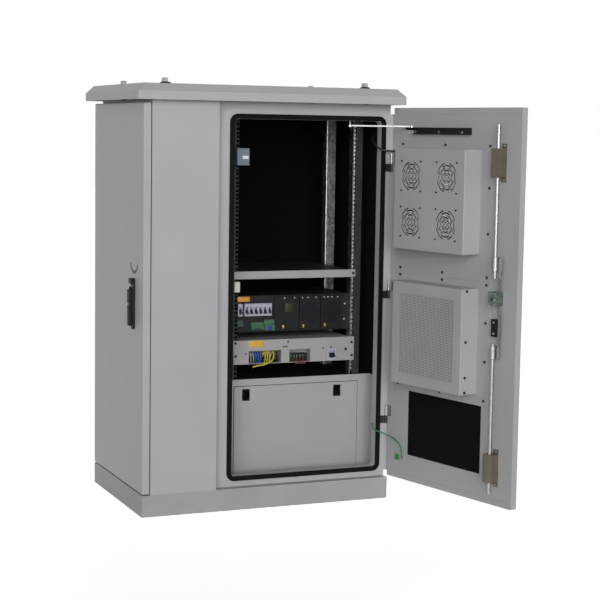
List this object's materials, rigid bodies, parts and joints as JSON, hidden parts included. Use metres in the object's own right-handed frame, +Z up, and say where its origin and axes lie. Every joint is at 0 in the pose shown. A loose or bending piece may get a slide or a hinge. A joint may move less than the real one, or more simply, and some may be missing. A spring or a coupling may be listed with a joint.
{
  "type": "outdoor equipment cabinet",
  "caption": "Grey sheet-steel outdoor equipment cabinet on a plinth, with a rack bay behind an open front door carrying fans and filters, and a side bay behind a side door.",
  "frame": {"origin": "centre of the plinth's footprint, on the floor", "axes": "+Z up, the rack bay's door opens on the front, which faces -Y, the side door is on -X"},
  "size_m": [1.1703, 1.2701, 1.53],
  "materials": {
    "grey_paint": "fine powder coat, light grey",
    "plinth_paint": "fine powder coat, light grey",
    "zinc_steel": "zinc plated",
    "black_steel": "black powder coat",
    "hinge_dark": "dark grey coat",
    "unit_grey": "satin charcoal",
    "panel_grey": "satin light grey",
    "module_grey": "satin charcoal",
    "breaker_plastic": "moulded",
    "toggle_plastic": "moulded",
    "green_plastic": "moulded",
    "foam_black": "black foam",
    "seal_black": "foamed seal",
    "black_plastic": "moulded",
    "grille_dark": "perforated sheet, grey coat",
    "handle_metal": "dark coat",
    "box_plastic": "moulded",
    "green_cord": "insulated wire",
    "black_cord": "sheathed cable"
  },
  "bodies": {
    "cabinet": {"base_pan": "grey_paint", "rear_panel": "grey_paint", "right_panel": "grey_paint", "partition": "grey_paint", "top_pan": "grey_paint", "front_frame": "grey_paint", "front_left_panel": "grey_paint", "side_frame": "grey_paint", "roof": "grey_paint", "battery_box": "grey_paint", "lower_cover": "grey_paint", "plinth": "plinth_paint", "roof_bolts": "zinc_steel", "rack_rails": "zinc_steel", "rack_shelf": "black_steel", "cabinet_hinges": "hinge_dark", "power_chassis": "unit_grey", "distribution_unit": "panel_grey", "plug_in_modules": "module_grey", "breaker_bodies": "breaker_plastic", "terminal_blocks": "green_plastic", "insulation_sheets": "foam_black", "front_gasket": "seal_black", "side_gasket": "seal_black", "sensor_boxes": "box_plastic", "earth_wire": "green_cord", "fan_cable": "black_cord"},
    "front_door": {"door_pan": "grey_paint", "door_skin": "grey_paint", "fan_unit": "grey_paint", "fan_frames": "black_plastic", "filter_unit": "grey_paint", "filter_grille": "grille_dark", "filter_pad": "foam_black", "door_hinges": "zinc_steel", "lock_fittings": "zinc_steel", "handle_base": "black_plastic", "stay_bracket": "black_steel"},
    "stay": {"stay_rod": "zinc_steel"},
    "front_handle": {"handle_spindle": "handle_metal"},
    "front_lever": {"handle_lever": "handle_metal"},
    "upper_lock_rod": {"upper_rod": "zinc_steel"},
    "lower_lock_rod": {"lower_rod": "zinc_steel"},
    "side_door": {"side_door_pan": "grey_paint", "side_handle_base": "black_plastic"},
    "side_handle": {"side_handle_spindle": "handle_metal"},
    "side_lever": {"side_handle_lever": "handle_metal"},
    "rotor_1": {"fan_rotor_1": "black_plastic"},
    "rotor_2": {"fan_rotor_2": "black_plastic"},
    "rotor_3": {"fan_rotor_3": "black_plastic"},
    "rotor_4": {"fan_rotor_4": "black_plastic"},
    "toggle_1": {"breaker_toggle_1": "toggle_plastic"},
    "toggle_2": {"breaker_toggle_2": "toggle_plastic"},
    "toggle_3": {"breaker_toggle_3": "toggle_plastic"},
    "toggle_4": {"breaker_toggle_4": "toggle_plastic"},
    "toggle_5": {"breaker_toggle_5": "toggle_plastic"},
    "toggle_6": {"breaker_toggle_6": "toggle_plastic"},
    "toggle_7": {"breaker_toggle_7": "toggle_plastic"},
    "main_toggle": {"distribution_toggle": "toggle_plastic"}
  },
  "joints": [
    {"name": "front_door_swing", "type": "hinge", "parent": "cabinet", "child": "front_door", "pos_m": [0.4805, -0.2765, 0.76], "axis": [0, 0, 1], "range_deg": [-103, 0], "deforming": ["earth_wire", "fan_cable"]},
    {"name": "stay_swing", "type": "hinge", "parent": "cabinet", "child": "stay", "pos_m": [0.322, -0.2515, 1.376], "axis": [0, 0, 1], "range_deg": [-138, 0]},
    {"name": "front_handle_turn", "type": "hinge", "parent": "front_door", "child": "front_handle", "pos_m": [0.61798, -0.84977, 0.797], "axis": [-0.9744, -0.225, 0], "range_deg": [0, 90]},
    {"name": "front_lever_tilt", "type": "hinge", "parent": "front_handle", "child": "front_lever", "pos_m": [0.65832, -0.84045, 0.797], "axis": [0, 0, -1], "range_deg": [0, 35]},
    {"name": "upper_rod_slide", "type": "slide", "parent": "front_door", "child": "upper_lock_rod", "axis": [0, 0, 1], "range_m": [0, 0.01601]},
    {"name": "lower_rod_slide", "type": "slide", "parent": "front_door", "child": "lower_lock_rod", "axis": [0, 0, -1], "range_m": [0, 0.01601]},
    {"name": "side_door_swing", "type": "hinge", "parent": "cabinet", "child": "side_door", "pos_m": [-0.447, 0.313, 0.76], "axis": [0, 0, -1], "range_deg": [0, 110]},
    {"name": "side_handle_turn", "type": "hinge", "parent": "side_door", "child": "side_handle", "pos_m": [-0.449, -0.2005, 0.797], "axis": [-1, 0, 0], "range_deg": [0, 90]},
    {"name": "side_lever_tilt", "type": "hinge", "parent": "side_handle", "child": "side_lever", "pos_m": [-0.4904, -0.2005, 0.797], "axis": [0, 1, 0], "range_deg": [0, 35]},
    {"name": "fan_1_spin", "type": "hinge", "parent": "front_door", "child": "rotor_1", "pos_m": [0.47201, -0.48423, 1.2015], "axis": [-0.9744, -0.225, 0], "continuous": true},
    {"name": "fan_2_spin", "type": "hinge", "parent": "front_door", "child": "rotor_2", "pos_m": [0.51475, -0.66936, 1.2015], "axis": [-0.9744, -0.225, 0], "continuous": true},
    {"name": "fan_3_spin", "type": "hinge", "parent": "front_door", "child": "rotor_3", "pos_m": [0.47201, -0.48423, 1.0385], "axis": [-0.9744, -0.225, 0], "continuous": true},
    {"name": "fan_4_spin", "type": "hinge", "parent": "front_door", "child": "rotor_4", "pos_m": [0.51475, -0.66936, 1.0385], "axis": [-0.9744, -0.225, 0], "continuous": true},
    {"name": "breaker_1_throw", "type": "hinge", "parent": "cabinet", "child": "toggle_1", "pos_m": [-0.05425, -0.1395, 0.697], "axis": [1, 0, 0], "range_deg": [-60, 0]},
    {"name": "breaker_2_throw", "type": "hinge", "parent": "cabinet", "child": "toggle_2", "pos_m": [-0.02925, -0.1395, 0.697], "axis": [1, 0, 0], "range_deg": [-60, 0]},
    {"name": "breaker_3_throw", "type": "hinge", "parent": "cabinet", "child": "toggle_3", "pos_m": [-0.01125, -0.1395, 0.697], "axis": [1, 0, 0], "range_deg": [-60, 0]},
    {"name": "breaker_4_throw", "type": "hinge", "parent": "cabinet", "child": "toggle_4", "pos_m": [0.00675, -0.1395, 0.697], "axis": [1, 0, 0], "range_deg": [-60, 0]},
    {"name": "breaker_5_throw", "type": "hinge", "parent": "cabinet", "child": "toggle_5", "pos_m": [0.02475, -0.1395, 0.697], "axis": [1, 0, 0], "range_deg": [-60, 0]},
    {"name": "breaker_6_throw", "type": "hinge", "parent": "cabinet", "child": "toggle_6", "pos_m": [0.04275, -0.1395, 0.697], "axis": [1, 0, 0], "range_deg": [-60, 0]},
    {"name": "breaker_7_throw", "type": "hinge", "parent": "cabinet", "child": "toggle_7", "pos_m": [0.06075, -0.1395, 0.697], "axis": [1, 0, 0], "range_deg": [-60, 0]},
    {"name": "main_breaker_throw", "type": "hinge", "parent": "cabinet", "child": "main_toggle", "pos_m": [0.305, -0.1595, 0.527], "axis": [1, 0, 0], "range_deg": [-60, 0]}
  ],
  "couplings": [
    {"joint": "stay_swing", "follows": "front_door_swing", "ratio": 1.334},
    {"joint": "upper_rod_slide", "follows": "front_handle_turn", "m_per_rad": 0.010186},
    {"joint": "lower_rod_slide", "follows": "front_handle_turn", "m_per_rad": 0.010186}
  ]
}
